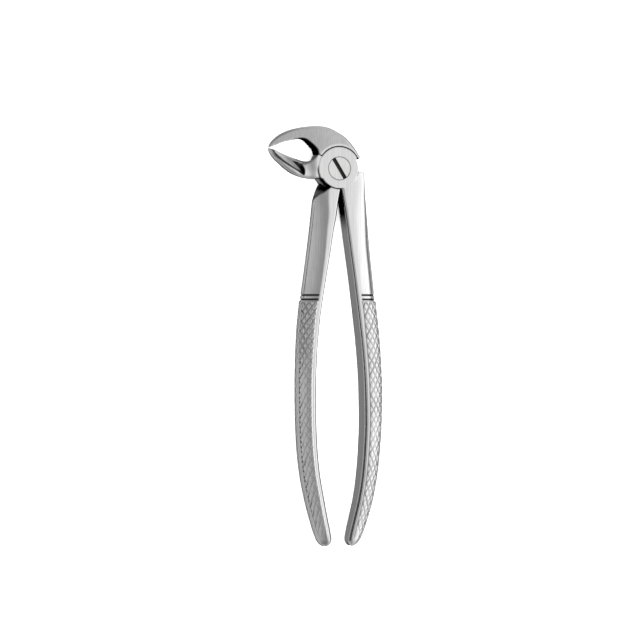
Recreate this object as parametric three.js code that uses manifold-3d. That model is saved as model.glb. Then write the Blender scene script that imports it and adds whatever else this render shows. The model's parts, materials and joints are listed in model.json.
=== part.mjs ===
// Lower extraction forceps, English pattern, lying on its back: two forged levers and one pivot screw.
// The hinge axis is parallel to Z, the beaks point to -X and the handles run towards -Y.
// Shapes are written about the hinge axis, with z = 0 in the middle of the lap joint.

import * as THREE from 'three';
import { mergeVertices } from 'three/addons/utils/BufferGeometryUtils.js';
import Module from 'manifold-3d';

// Lap joint, mm
const JOINT_DEPTH = 9.4; // front boss and rear boss together
const LAP_GAP = 0.3; // between the sliding faces
const BOSS_RADIUS = 9.0; // boss where the beak shoulders run around it
const LOW_BOSS_RADIUS = 8.3; // boss where the shank shoulders run around it
const SHOULDER_GAP = 0.3; // between a boss and the shoulders around it

// Arcs of full-depth metal around the pivot, in degrees anticlockwise from +X, levers closed
const HEEL_ANGLE = 25.5; // right end of the upper hood
const MEET_ANGLE = 146; // where hood and lower beak close on each other
const SHANK_STEP_ANGLE = -7; // top of the right shank
const SHANK_MEET_ANGLE = -86; // where the two shanks close on each other
const RELIEF_ANGLE = 234; // relief of the left shank, which the lower beak swings into
const RELIEF_FLOOR_DEPTH = 6; // below the front face
const RELIEF_LEAN_X = 0.29; // how far the relief leans outwards per mm of depth
const RELIEF_LEAN_Y = 0.44;

// Pivot screw, mm
const HEAD_RADIUS = 4.75;
const HEAD_HEIGHT = 1.7;
const PIN_RADIUS = 3.0;
const PIN_CLEARANCE = 0.1;
const HEAD_CLEARANCE = 0.15;
const SLOT_WIDTH = 1.5;
const SLOT_DEPTH = 1.0;
const SLOT_ANGLE = -58.5; // degrees from +X
const SCREW_END_RECESS = 0.1; // peened end, just below the rear face

// Where the hinge axis stands in the finished part, so that the part's box is centred and rests on z = 0
const PIVOT_X = 4.93;
const PIVOT_Y = 69.725;
const PIVOT_Z = 5.6;

const HALF = JOINT_DEPTH / 2;
const BIG = 60; // larger than any cut needs
const RAD = Math.PI / 180;

const wasm = await Module();
wasm.setup();

// ---- helpers ------------------------------------------------------------------------------------

// Closed geometry to solid
function solid(geometry) {
  geometry.deleteAttribute('normal');
  geometry.deleteAttribute('uv');
  const merged = mergeVertices(geometry, 1e-5);
  const vertProperties = new Float32Array(merged.attributes.position.array);
  const triVerts = new Uint32Array(merged.index.array);
  return new wasm.Manifold(new wasm.Mesh({ numProp: 3, vertProperties, triVerts }));
}

function toMesh(name, body, material) {
  const { vertProperties, triVerts } = body.getMesh();
  const geometry = new THREE.BufferGeometry();
  geometry.setAttribute('position', new THREE.BufferAttribute(vertProperties, 3));
  geometry.setIndex(new THREE.BufferAttribute(triVerts, 1));
  geometry.computeVertexNormals();
  const mesh = new THREE.Mesh(geometry, material);
  mesh.name = name;
  return mesh;
}

// Cylinder along Z between two heights
function cylinder(radius, low, high, sides = 64) {
  const geometry = new THREE.CylinderGeometry(radius, radius, high - low, sides);
  geometry.rotateX(Math.PI / 2);
  geometry.translate(0, 0, (low + high) / 2);
  return solid(geometry);
}

// Outline in the XY plane raised between two heights
function prism(shape, low, high, curveSegments = 12) {
  const geometry = new THREE.ExtrudeGeometry(shape, { depth: high - low, bevelEnabled: false, curveSegments });
  geometry.translate(0, 0, low);
  return solid(geometry);
}

// Ring sector about the hinge axis, angles in degrees
function sector(inner, outer, from, to, low, high) {
  const shape = new THREE.Shape();
  shape.absarc(0, 0, outer, from * RAD, to * RAD, false);
  shape.absarc(0, 0, inner, to * RAD, from * RAD, true);
  shape.closePath();
  return prism(shape, low, high, 32);
}

// Smooth curve through [position, value] pairs that never overshoots them
function through(pairs) {
  const x = pairs.map((p) => p[0]);
  const y = pairs.map((p) => p[1]);
  const last = x.length - 1;
  const rise = x.slice(1).map((_, i) => (y[i + 1] - y[i]) / (x[i + 1] - x[i]));
  const slope = x.map((_, i) => {
    if (i === 0) return rise[0];
    if (i === last) return rise[last - 1];
    return rise[i - 1] * rise[i] <= 0 ? 0 : (2 * rise[i - 1] * rise[i]) / (rise[i - 1] + rise[i]);
  });
  return (at) => {
    let i = 0;
    while (i < last - 1 && (at - x[i + 1]) * (x[last] - x[0]) > 0) i += 1;
    const h = x[i + 1] - x[i];
    const t = THREE.MathUtils.clamp((at - x[i]) / h, 0, 1);
    const a = (1 + 2 * t) * (1 - t) ** 2;
    const b = t * (1 - t) ** 2;
    const c = t * t * (3 - 2 * t);
    const d = t * t * (t - 1);
    return a * y[i] + b * h * slope[i] + c * y[i + 1] + d * h * slope[i + 1];
  };
}

// Closed skin over rings of equal length; each ring is a list of [x, y, z]
function loft(rings) {
  const count = rings[0].length;
  const points = rings.flat();
  const index = [];
  for (let r = 0; r < rings.length - 1; r += 1) {
    for (let k = 0; k < count; k += 1) {
      const a = r * count + k;
      const b = r * count + ((k + 1) % count);
      index.push(a, b, b + count, a, b + count, a + count);
    }
  }
  for (const [first, flip] of [[0, true], [(rings.length - 1) * count, false]]) {
    const ring = points.slice(first, first + count);
    const middle = [0, 1, 2].map((axis) => ring.reduce((sum, p) => sum + p[axis], 0) / count);
    const centre = points.push(middle) - 1;
    for (let k = 0; k < count; k += 1) {
      const a = first + k;
      const b = first + ((k + 1) % count);
      index.push(...(flip ? [b, a, centre] : [a, b, centre]));
    }
  }
  const geometry = new THREE.BufferGeometry();
  geometry.setAttribute('position', new THREE.Float32BufferAttribute(points.flat(), 3));
  geometry.setIndex(index);
  const body = solid(geometry.clone());
  if (body.volume() > 0) return body;
  for (let i = 0; i < index.length; i += 3) [index[i], index[i + 1]] = [index[i + 1], index[i]];
  geometry.setIndex(index);
  return solid(geometry);
}

// ---- shank and handle ---------------------------------------------------------------------------

const SIDE_POINTS = 7; // points on each curved quarter of a section

// Section across a shank or handle: a flat inner face, short flat sides and a rounded outer face.
// A square section has a high power, a D-shaped one a power near 2.
function handleSection(y, inner, outer, depth, flat, power) {
  const sign = Math.sign(outer - inner);
  const thick = Math.abs(outer - inner);
  const edge = Math.min(0.7, thick / 4);
  const half = depth / 2;
  const side = Math.min(flat, thick / 3);
  const profile = [[0, half - edge], [edge, half]];
  for (let k = 0; k <= SIDE_POINTS; k += 1) {
    const angle = (k / SIDE_POINTS) * (Math.PI / 2);
    const along = side + (thick - side) * Math.sin(angle) ** (2 / power);
    profile.push([along, half * Math.cos(angle) ** (2 / power)]);
  }
  const back = profile.slice(0, -1).reverse().map(([u, z]) => [u, -z]);
  return [...profile, ...back].map(([u, z]) => [inner + sign * u, y, z]);
}

const GROOVE_Y = [-52.7, -54.5]; // two ring grooves above the knurled grip
const GROOVE_WIDTH = 0.9;
const GROOVE_DEPTH = 0.4;
const GRIP_TOP_Y = -55.4; // the knurled grip stands a little proud of the shank
const GRIP_STEP = 0.35;

const shankDepth = through([
  [-2, 9.4], [-14, 9.4], [-34, 9.8], [-52, 10.2], [-75, 11.0], [-100, 11.2], [-128, 10.8],
  [-145, 9.8], [-152, 8.4], [-155.4, 6.2], [-157.1, 3.0],
]);
const sideFlat = through([[-2, 0.9], [-50, 1.2], [-70, 2.0], [-100, 2.6], [-157, 1.6]]);
const sectionPower = through([[-2, 5], [-30, 4], [-52, 3.2], [-70, 2.4], [-100, 2.1], [-157, 2.1]]);

function handleStations() {
  const ys = [-2, -6, -8.4, -11, -14, -18, -23, -28, -34, -40, -46, -51];
  for (const y of GROOVE_Y) ys.push(y + GROOVE_WIDTH / 2, y + 0.1, y - 0.1, y - GROOVE_WIDTH / 2);
  ys.push(GRIP_TOP_Y + 0.15, GRIP_TOP_Y);
  for (let y = -60; y > -140; y -= 5) ys.push(y);
  ys.push(-140, -144, -148, -151, -153.5, -155.2, -156.4, -157.1);
  return ys;
}

function inGroove(y) {
  return GROOVE_Y.some((centre) => Math.abs(y - centre) < 0.2);
}

function handle(innerAt, outerAt) {
  const rings = handleStations().map((y) => {
    const inner = innerAt(y);
    const sign = Math.sign(outerAt(y) - inner);
    const cut = inGroove(y) ? GROOVE_DEPTH : 0;
    const proud = y <= GRIP_TOP_Y ? GRIP_STEP : 0;
    const outer = outerAt(y) + sign * (proud - cut);
    return handleSection(y, inner, outer, shankDepth(y) - 1.2 * cut, sideFlat(y), sectionPower(y));
  });
  return loft(rings);
}

const leftInner = through([
  [-2, 2.4], [-8.4, 0.7], [-14, -0.45], [-19.9, -1.3], [-25.5, -2.4], [-34, -3.7], [-46.5, -6.0],
  [-54, -7.3], [-65, -8.8], [-78, -9.8], [-91, -10.15], [-105, -9.95], [-116, -9.5], [-127, -8.3],
  [-136, -6.7], [-145.5, -4.8], [-151, -3.7], [-154.5, -3.1], [-157.1, -3.7],
]);
const leftOuter = through([
  [-2, -8.3], [-8.4, -8.9], [-14, -9.4], [-25.5, -10.6], [-34, -11.6], [-46.5, -13.6],
  [-54, -14.7], [-67, -16.5], [-80, -17.2], [-91, -17.4], [-105, -17.2], [-116, -16.6],
  [-127, -15.4], [-138, -13.1], [-147.5, -10.3], [-153, -8.1], [-156.2, -6.0], [-157.1, -4.9],
]);
const rightInner = through([
  [-2, -0.5], [-8.3, 1.1], [-12.2, 1.75], [-19.8, 2.9], [-25.5, 3.7], [-34, 4.9], [-46.5, 6.8],
  [-54.8, 8.0], [-65, 9.3], [-76, 10.4], [-91, 11.2], [-105, 11.4], [-118, 10.85], [-129, 9.8],
  [-138, 8.3], [-146.5, 6.3], [-153, 5.0], [-155.5, 5.0], [-157.1, 5.7],
]);
const rightOuter = through([
  [-2, 10.0], [-8.3, 10.6], [-19.8, 12.1], [-34, 13.7], [-46.5, 15.1], [-54.8, 15.9],
  [-66, 17.6], [-80, 18.9], [-92, 19.4], [-105, 19.25], [-116, 18.6], [-127, 17.5],
  [-138, 15.5], [-147, 12.8], [-152.5, 10.4], [-156, 8.1], [-157.1, 6.9],
]);

// ---- beaks --------------------------------------------------------------------------------------

const BEAK_DEPTH = through([
  [-29.6, 1.6], [-29.2, 2.6], [-27.8, 3.9], [-24.8, 6.0], [-21.5, 7.6], [-18, 8.8], [-13, 9.4], [10, 9.4],
]);
const BEAK_STATIONS = [-29.6, -29.2, -28.5, -27.5, -26, -24.5, -23, -21, -19, -17, -15, -13, -11, -9];
const ARC_POINTS = 18;

// Upper beak and the hood over the boss: rounded outside, open below
const hoodTop = through([
  [-29.6, 9.1], [-29.2, 10.0], [-27.4, 12.0], [-23.9, 14.5], [-20.5, 16.0], [-17.2, 16.9],
  [-12.2, 17.6], [-8.7, 17.65], [-4.3, 16.9], [-0.6, 15.2], [3.3, 11.9], [7.6, 7.5], [9.8, 4.6],
]);
const hoodBase = through([[-29.6, 8.2], [-28.5, 8.6], [-24.8, 9.4], [-18, 10.4], [-14, 8], [-10, 2], [9.8, 0]]);
const hoodPower = through([[-29.6, 2], [-20, 2.1], [-12, 2.8], [-4, 4], [9.8, 4.5]]);

function hood() {
  const stations = [...BEAK_STATIONS, -7, -4.5, -2, 0.5, 3, 5, 7, 8.6, 9.8];
  const rings = stations.map((x) => {
    const half = BEAK_DEPTH(x) / 2;
    const base = hoodBase(x);
    const height = hoodTop(x) - base;
    const ring = [[x, base, half], [x, base, -half]];
    for (let k = 1; k < ARC_POINTS; k += 1) {
      const angle = (k / ARC_POINTS) * Math.PI;
      const swing = Math.abs(Math.cos(angle)) ** (2 / hoodPower(x));
      const rise = Math.sin(angle) ** (2 / hoodPower(x));
      ring.push([x, base + height * rise, -half * Math.sign(Math.cos(angle)) * swing]);
    }
    return ring;
  });
  return loft(rings);
}

// Opening between the beaks under the hood; its upper edge is the rim of the upper beak
function archCut() {
  const rim = new THREE.Shape();
  rim.moveTo(-31, 7.2);
  rim.lineTo(-29.9, 8.55);
  rim.splineThru([
    [-28.4, 9.2], [-24.8, 10.45], [-21.7, 11.35], [-18.9, 11.95], [-15.6, 12.3], [-12.8, 11.5],
    [-10.4, 9.8], [-9.3, 7.6], [-9.12, 5.6],
  ].map(([x, y]) => new THREE.Vector2(x, y)));
  rim.lineTo(-10.5, 1.5);
  rim.lineTo(-12, -6);
  rim.lineTo(-31, -6);
  rim.closePath();
  return prism(rim, -BIG, BIG, 40);
}

// Lower beak: its inner face is rolled towards the front, so the far rim stands higher than the near one
const farRim = through([
  [-29.6, 8.25], [-27.8, 8.5], [-24.8, 7.4], [-21.1, 5.8], [-16.75, 4.35], [-14, 3.5],
  [-11.5, 3.2], [-9.5, 5.0], [-8, 6.2],
]);
const nearRim = through([
  [-29.6, 8.1], [-27.8, 7.3], [-26.7, 5.4], [-24.8, 3.75], [-21.7, 1.65], [-19.4, 0.4],
  [-15.3, -1.6], [-12.5, 0.5], [-9.5, 4.5], [-8, 6.2],
]);
const beakBottom = through([
  [-29.6, 7.4], [-29.3, 6.9], [-27.2, 4.1], [-24.9, 2.2], [-23.1, 0.2], [-18.9, -2.5], [-14.5, -4.0],
  [-10.4, -4.4], [-8, -4.2],
]);
const innerBulge = through([[-29.6, 0], [-27, -0.3], [-17, -0.4], [-13.5, 0.5], [-11, 1.6], [-8, 0.4]]);
const bottomPower = through([[-29.6, 2], [-18, 2], [-11, 2.4], [-8, 3]]);

function lowerBeak() {
  const rings = [...BEAK_STATIONS, -8].map((x) => {
    const half = BEAK_DEPTH(x) / 2;
    const middle = (farRim(x) + nearRim(x)) / 2;
    const tilt = (farRim(x) - nearRim(x)) / 2;
    const drop = Math.sqrt(Math.max((middle - beakBottom(x)) ** 2 - tilt ** 2, 0.15));
    const power = bottomPower(x);
    const ring = [];
    for (let k = 0; k < 2 * ARC_POINTS; k += 1) {
      const angle = (k / ARC_POINTS) * Math.PI;
      const across = Math.cos(angle);
      const below = k > 0 && k < ARC_POINTS;
      const swing = below ? Math.sign(across) * Math.abs(across) ** (2 / power) : across;
      const sink = below ? -drop * Math.sin(angle) ** (2 / power) : innerBulge(x) * Math.sin(-angle);
      ring.push([x, middle - tilt * swing + sink, half * swing]);
    }
    return ring;
  });
  return loft(rings);
}

// Gouge along an inner face: a long round-ended cutter from the tip towards the joint
function gouge(from, to, radius, slimness) {
  const axis = new THREE.Vector3().subVectors(to, from);
  const geometry = new THREE.SphereGeometry(1, 24, 16);
  geometry.scale(radius, axis.length() / 2, radius * slimness);
  const turn = new THREE.Quaternion().setFromUnitVectors(new THREE.Vector3(0, 1, 0), axis.normalize());
  geometry.applyQuaternion(turn);
  geometry.translate((from.x + to.x) / 2, (from.y + to.y) / 2, (from.z + to.z) / 2);
  return solid(geometry);
}

// ---- the three pieces ---------------------------------------------------------------------------

function pinHole(radius, low, high) {
  return cylinder(radius, low, high, 48);
}

// Slanting relief on the left shank: it starts at a straight edge on the front face and leans back
function slantingRelief() {
  const shape = new THREE.Shape();
  shape.moveTo(-3.2, -7.4);
  shape.lineTo(-13, -13.9);
  shape.lineTo(-22, -6);
  shape.lineTo(-8, 6);
  shape.closePath();
  const geometry = new THREE.ExtrudeGeometry(shape, { depth: RELIEF_FLOOR_DEPTH + 2, bevelEnabled: false });
  geometry.translate(0, 0, -RELIEF_FLOOR_DEPTH);
  const lean = new THREE.Matrix4().set(1, 0, RELIEF_LEAN_X, 0, 0, 1, -RELIEF_LEAN_Y, 0, 0, 0, 1, HALF, 0, 0, 0, 1);
  geometry.applyMatrix4(lean);
  return solid(geometry);
}

function rearLever() {
  const boss = cylinder(BOSS_RADIUS, -HALF, -LAP_GAP / 2);
  const room = cylinder(BOSS_RADIUS + SHOULDER_GAP, -LAP_GAP / 2, BIG);
  const lowRoom = cylinder(LOW_BOSS_RADIUS + SHOULDER_GAP, -LAP_GAP / 2, BIG);
  const sideRoom = sector(2, BOSS_RADIUS + SHOULDER_GAP, 180, RELIEF_ANGLE + 2, -LAP_GAP / 2, BIG);
  const heelCut = sector(BOSS_RADIUS, 20, SHANK_MEET_ANGLE + 8, HEEL_ANGLE, -BIG, BIG);
  const meetCut = sector(BOSS_RADIUS, 14, MEET_ANGLE, 205, -BIG, BIG);
  const reliefCut = sector(BOSS_RADIUS, 26, 180, RELIEF_ANGLE, -BIG, BIG);
  const hollow = gouge(new THREE.Vector3(-28.6, 8.4, 0), new THREE.Vector3(-14.5, 11.6, 0), 1.5, 1.5);
  const upper = hood().subtract(archCut()).subtract(hollow).subtract(room).subtract(heelCut).subtract(meetCut);
  const lower = handle(leftInner, leftOuter).subtract(lowRoom).subtract(sideRoom).subtract(reliefCut)
    .subtract(slantingRelief());
  return boss.add(upper).add(lower).subtract(pinHole(PIN_RADIUS + PIN_CLEARANCE, -BIG, BIG));
}

function frontLever() {
  const boss = cylinder(BOSS_RADIUS, LAP_GAP / 2, HALF);
  const lowCut = sector(LOW_BOSS_RADIUS, 20, 207, 360 + SHANK_MEET_ANGLE + 2, -BIG, BIG);
  const rearRoom = cylinder(BOSS_RADIUS + SHOULDER_GAP, -BIG, LAP_GAP / 2);
  const stepCut = sector(BOSS_RADIUS, 30, SHANK_STEP_ANGLE, 90, -BIG, BIG);
  const meetCut = sector(BOSS_RADIUS, 40, 60, MEET_ANGLE + 1.2, -BIG, BIG);
  const shank = handle(rightInner, rightOuter).subtract(rearRoom).subtract(stepCut);
  const beak = lowerBeak().subtract(rearRoom).subtract(meetCut);
  const hollow = gouge(new THREE.Vector3(-28.4, 7.6, 0.9), new THREE.Vector3(-13.6, 0.7, 0.6), 1.7, 1.5);
  return boss.subtract(lowCut).add(shank).add(beak).subtract(hollow)
    .subtract(pinHole(PIN_RADIUS + PIN_CLEARANCE, -BIG, BIG))
    .subtract(pinHole(HEAD_RADIUS + HEAD_CLEARANCE, HALF - HEAD_HEIGHT - 0.2, BIG));
}

function pivotScrew() {
  const head = cylinder(HEAD_RADIUS, HALF - HEAD_HEIGHT, HALF, 48);
  const pin = pinHole(PIN_RADIUS, -HALF + SCREW_END_RECESS, HALF - HEAD_HEIGHT / 2);
  const slotBox = new THREE.BoxGeometry(4 * HEAD_RADIUS, SLOT_WIDTH, 2 * SLOT_DEPTH);
  slotBox.rotateZ(SLOT_ANGLE * RAD);
  slotBox.translate(0, 0, HALF);
  return head.add(pin).subtract(solid(slotBox));
}

// ---- assembly -----------------------------------------------------------------------------------

const steel = new THREE.MeshStandardMaterial({ color: 0xc3c3c2, roughness: 0.28, metalness: 1 });
const screwSteel = new THREE.MeshStandardMaterial({ color: 0xcfcfce, roughness: 0.22, metalness: 1 });

const forceps = new THREE.Group();
forceps.position.set(PIVOT_X, PIVOT_Y, PIVOT_Z);
forceps.add(toMesh('rear_lever', rearLever(), steel));
forceps.add(toMesh('front_lever', frontLever(), steel));
forceps.add(toMesh('pivot_screw', pivotScrew(), screwSteel));

export default forceps;
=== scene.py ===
"""Looks of a pair of lower extraction forceps: two forged stainless levers and the slotted pivot screw.

Shapes are written in millimetres about the hinge axis, with z = 0 in the middle of the lap joint, the beaks
towards -X and the handles towards -Y. Joint, beaks and upper shanks are meshed from a distance field, and
each shank and knurled grip is a sweep zipped onto it, so that every lever is one closed skin.
"""

import json
import math
from types import SimpleNamespace

import bmesh
import bpy
import numpy as np
from mathutils import Matrix, Vector


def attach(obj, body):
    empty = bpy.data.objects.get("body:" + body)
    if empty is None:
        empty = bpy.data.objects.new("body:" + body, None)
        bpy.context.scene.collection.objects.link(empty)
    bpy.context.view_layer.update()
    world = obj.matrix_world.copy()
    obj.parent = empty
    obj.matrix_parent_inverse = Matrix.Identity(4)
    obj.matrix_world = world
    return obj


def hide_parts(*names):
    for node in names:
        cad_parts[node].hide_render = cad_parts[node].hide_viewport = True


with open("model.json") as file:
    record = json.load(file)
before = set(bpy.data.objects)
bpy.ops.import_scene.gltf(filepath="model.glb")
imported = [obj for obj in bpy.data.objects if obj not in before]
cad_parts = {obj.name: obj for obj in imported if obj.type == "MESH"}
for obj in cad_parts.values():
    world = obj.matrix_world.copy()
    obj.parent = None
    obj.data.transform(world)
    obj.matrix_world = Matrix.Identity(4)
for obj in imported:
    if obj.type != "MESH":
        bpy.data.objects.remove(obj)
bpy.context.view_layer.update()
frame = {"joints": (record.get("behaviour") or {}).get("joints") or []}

MM = 0.001
PIVOT = Vector(frame["joints"][0]["pos_m"])

# ---- sizes, mm ------------------------------------------------------------------------------------

HALF = 4.7  # half the depth of the lap joint
LAP = 0.15  # half the gap between the sliding faces
BOSS_R = 9.0
LOW_BOSS_R = 8.35  # the boss's radius where neither the hood nor the lower beak runs around it
SHOULDER_GAP = 0.28
EDGE = 0.3  # radius of a ground edge

HEAD_R = 4.75
HEAD_H = 1.7
HEAD_ROOM = 0.07  # gap around the screw head
PIN_R = 3.0
PIN_ROOM = 0.1
SLOT_W = 1.5
SLOT_DEPTH = 1.1
SLOT_ANGLE = math.radians(-58.5)

OPEN = math.radians(26.5)  # the hinge's limit and a little more
SWING_ROOM = 0.25  # clearance of the lower beak in its open place
SHANK_TOP_Y = -3.0  # the left shank starts here, under the boss
SHOULDER_Y = -1.15  # top of the right shank, at the boss's edge
SHOULDER_SLOPE = 0.1
MEET_ANGLE = math.radians(147)  # the beak and the hood close on each other along this line beside the boss

JOIN_Y = -16.0  # where the meshed joint ends and the swept shank begins
END_Y = -157.5
END_ROUND = 3.3  # length over which a handle's end is rounded off
END_DEPTH = 0.35  # part of its depth that a handle keeps at the very end
GRIP_TOP = -55.4
GRIP_END = -150.0
GRIP_RISE = 0.36  # the knurled grip stands this far proud of the shank
RING_GROOVES = (-52.7, -54.5)
RING_DEPTH = 0.42

DIAMOND_LENGTH = 4.1
DIAMONDS_ACROSS = 7
STEPS = 12  # mesh rows and columns to one diamond
GROOVE_DEPTH = 0.24
GROOVE_HALF_WIDTH = 0.42
GROOVE_PITCH = 2.05  # between neighbouring grooves, across them

VOXEL = 0.225
MESH_LOW = (-31, JOIN_Y, -5.3)  # low corner of the space in which the joint and the beaks are meshed
SCREW_VOXEL = 0.12


# ---- curves and fields ----------------------------------------------------------------------------


def through(pairs):
    """Smooth curve through [position, value] pairs that never overshoots them, as a function of an array."""
    pairs = sorted(pairs)
    x = np.array([p[0] for p in pairs], float)
    y = np.array([p[1] for p in pairs], float)
    rise = np.diff(y) / np.diff(x)
    slope = np.concatenate([rise[:1], np.zeros(len(x) - 2), rise[-1:]])
    for i in range(1, len(x) - 1):
        if rise[i - 1] * rise[i] > 0:
            slope[i] = 2 * rise[i - 1] * rise[i] / (rise[i - 1] + rise[i])

    def at(value):
        value = np.asarray(value, float)
        i = np.clip(np.searchsorted(x, value) - 1, 0, len(x) - 2)
        h = x[i + 1] - x[i]
        t = np.clip((value - x[i]) / h, 0, 1)
        a = (1 + 2 * t) * (1 - t) ** 2
        b = t * (1 - t) ** 2
        c = t * t * (3 - 2 * t)
        d = t * t * (t - 1)
        return a * y[i] + b * h * slope[i] + c * y[i + 1] + d * h * slope[i + 1]

    return at


def smooth(value, low, high):
    t = np.clip((value - low) / (high - low), 0, 1)
    return t * t * (3 - 2 * t)


def both(a, b, radius=EDGE):
    """Intersection of two fields, with an edge rounded to that radius."""
    corner = np.sqrt(np.maximum(a + radius, 0) ** 2 + np.maximum(b + radius, 0) ** 2)
    return np.minimum(np.maximum(a, b), -radius) + corner


def either(a, b, radius=EDGE):
    """Union of two fields, with a fillet of that radius."""
    return -both(-a, -b, radius)


def without(a, b, radius=EDGE):
    return both(a, -b, radius)


def lesser(a, b, blend):
    """The lesser of two values, blended where they are close."""
    return np.minimum(a, b) - np.maximum(blend - np.abs(a - b), 0) ** 2 / (4 * blend)


def smooth_line(points, per_span=10):
    """Catmull-Rom line through points."""
    p = np.array(points, float)
    p = np.vstack([2 * p[0] - p[1], p, 2 * p[-1] - p[-2]])
    t = np.linspace(0, 1, per_span, endpoint=False)[:, None]
    spans = []
    for i in range(1, len(p) - 2):
        a, b, c, d = p[i - 1 : i + 3]
        square, cube = 2 * a - 5 * b + 4 * c - d, 3 * b - a - 3 * c + d
        spans.append(0.5 * (2 * b + (c - a) * t + square * t**2 + cube * t**3))
    return np.vstack([*spans, p[-2:-1]])


class Box:
    """A grid of points to sample fields on."""

    def __init__(self, low, high, step):
        self.low = np.array(low, float)
        self.step = step
        self.axes = [np.arange(a, b + step, step) for a, b in zip(low, high)]
        self.x = self.axes[0][:, None, None]
        self.y = self.axes[1][None, :, None]
        self.z = self.axes[2][None, None, :]
        self.r = np.hypot(self.x, self.y)
        self.angle = np.degrees(np.arctan2(self.y, self.x))

    def full(self, field):
        return np.broadcast_to(field, [len(a) for a in self.axes]).astype(float)

    def true(self, field):
        """The field scaled to be near to a distance."""
        grown = self.full(field)
        gradient = np.gradient(grown, self.step)
        size = np.sqrt(sum(g * g for g in gradient))
        return grown / np.maximum(size, 0.3)

    def plan(self, outline):
        """Distance to a closed outline in the XY plane, negative inside it."""
        px, py = np.meshgrid(self.axes[0], self.axes[1], indexing="ij")
        away = np.full(px.shape, 1e9)
        inside = np.zeros(px.shape, bool)
        for (ax, ay), (bx, by) in zip(outline, np.roll(outline, -1, axis=0)):
            dx, dy = bx - ax, by - ay
            span = dx * dx + dy * dy
            if span < 1e-12:
                continue
            t = np.clip(((px - ax) * dx + (py - ay) * dy) / span, 0, 1)
            away = np.minimum(away, (px - ax - t * dx) ** 2 + (py - ay - t * dy) ** 2)
            if ay != by:
                crossing = (ay > py) != (by > py)
                inside ^= crossing & (px < ax + (py - ay) / dy * dx)
        away = np.sqrt(away)
        return np.where(inside, -away, away)[:, :, None]


# ---- shank and handle sections --------------------------------------------------------------------

LEFT = SimpleNamespace(
    sign=-1,
    inner=through([
        (-2, 2.5), (-8.4, 0.85), (-14, -0.2), (-19.9, -1.05), (-25.5, -2.15), (-34, -3.45), (-46.5, -5.6),
        (-54, -6.85), (-65, -8.4), (-78, -9.5), (-91, -9.9), (-105, -9.75), (-116, -9.25), (-127, -8.1),
        (-136, -6.5), (-145.5, -4.6), (-151, -3.4), (-155, -2.75), (END_Y, -2.6),
    ]),
    outer=through([
        (-2, -9.3), (-8.4, -9.9), (-14, -10.4), (-25.5, -11.65), (-34, -12.75), (-46.5, -14.45),
        (-54, -15.5), (-60, -16.1), (-67, -16.75), (-80, -17.35), (-91, -17.55), (-105, -17.35),
        (-116, -16.8), (-127, -15.6), (-138, -13.4), (-147.5, -10.8), (-153, -9.15), (END_Y, -7.9),
    ]),
    facet_turn=through([(-2, 8.0), (-9, 12.0), (-20, 17.0), (-34, 19.0), (-50, 20.0), (END_Y, 20.0)]),
    crown=28.0,
    side_turn=math.radians(64),
    side_half=through([(-2, 1.5), (END_Y, 1.5)]),
    side_round=0.15,
    grip_oval=0.3,
    seed=11,
)
RIGHT = SimpleNamespace(
    sign=1,
    inner=through([
        (-2, -0.5), (-8.3, 1.1), (-12.2, 1.75), (-19.8, 2.9), (-25.5, 3.7), (-34, 4.85), (-46.5, 6.6),
        (-54.8, 7.65), (-65, 8.9), (-76, 10.1), (-91, 11.05), (-105, 11.3), (-118, 10.75), (-129, 9.75),
        (-138, 8.3), (-146.5, 6.3), (-153, 4.8), (END_Y, 4.0),
    ]),
    outer=through([
        (-1, 11.6), (-8.3, 12.1), (-19.8, 13.3), (-34, 14.75), (-46.5, 16.1), (-54.8, 17.0),
        (-60, 17.5), (-66, 18.15), (-80, 19.3), (-92, 19.75), (-105, 19.6), (-116, 18.95), (-127, 17.8),
        (-138, 15.75), (-147, 13.1), (-152.5, 11.2), (END_Y, 9.3),
    ]),
    facet_turn=through([(-2, 2.0), (-9, 4.0), (-20, 8.0), (-34, 10.0), (-50, 11.0), (END_Y, 12.0)]),
    crown=20.0,
    side_turn=math.radians(46),
    side_half=through([(-1, 3.6), (-9, 2.7), (-20, 1.7), (-34, 1.0), (END_Y, 0.9)]),
    side_round=0.7,
    grip_oval=1.0,
    seed=29,
)
DEPTH = through([
    (-2, 9.4), (-14, 9.4), (-34, 9.7), (-55, 10.0), (-75, 10.3), (-100, 10.45), (-128, 10.1),
    (-145, 9.4), (-152, 8.9), (END_Y, 8.4),
])
# Flat band beside the inner face, and the most of the section's width that it may take
BAND = through([
    (-2, 5.4), (-9, 4.9), (-20, 3.4), (-34, 2.5), (-50, 2.0), (-60, 2.1), (-75, 1.8), (-100, 1.9),
    (END_Y, 1.7),
])
BAND_SHARE = 0.55
# Bevel along the inner edges: its reach down the inner face, and its slope
BEVEL = through([(-2, 0.75), (-70, 0.75), (-95, 0.9), (-130, 1.1), (END_Y, 1.2)])
BEVEL_TURN = math.radians(44)


def end_shrink(y):
    """Size of the section as a part of its full size, which falls only in the rounded end."""
    into_end = np.clip((y - END_Y) / END_ROUND, 0, 1)
    return np.sqrt(np.maximum(1 - (1 - into_end) ** 2, 1e-4))


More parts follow.
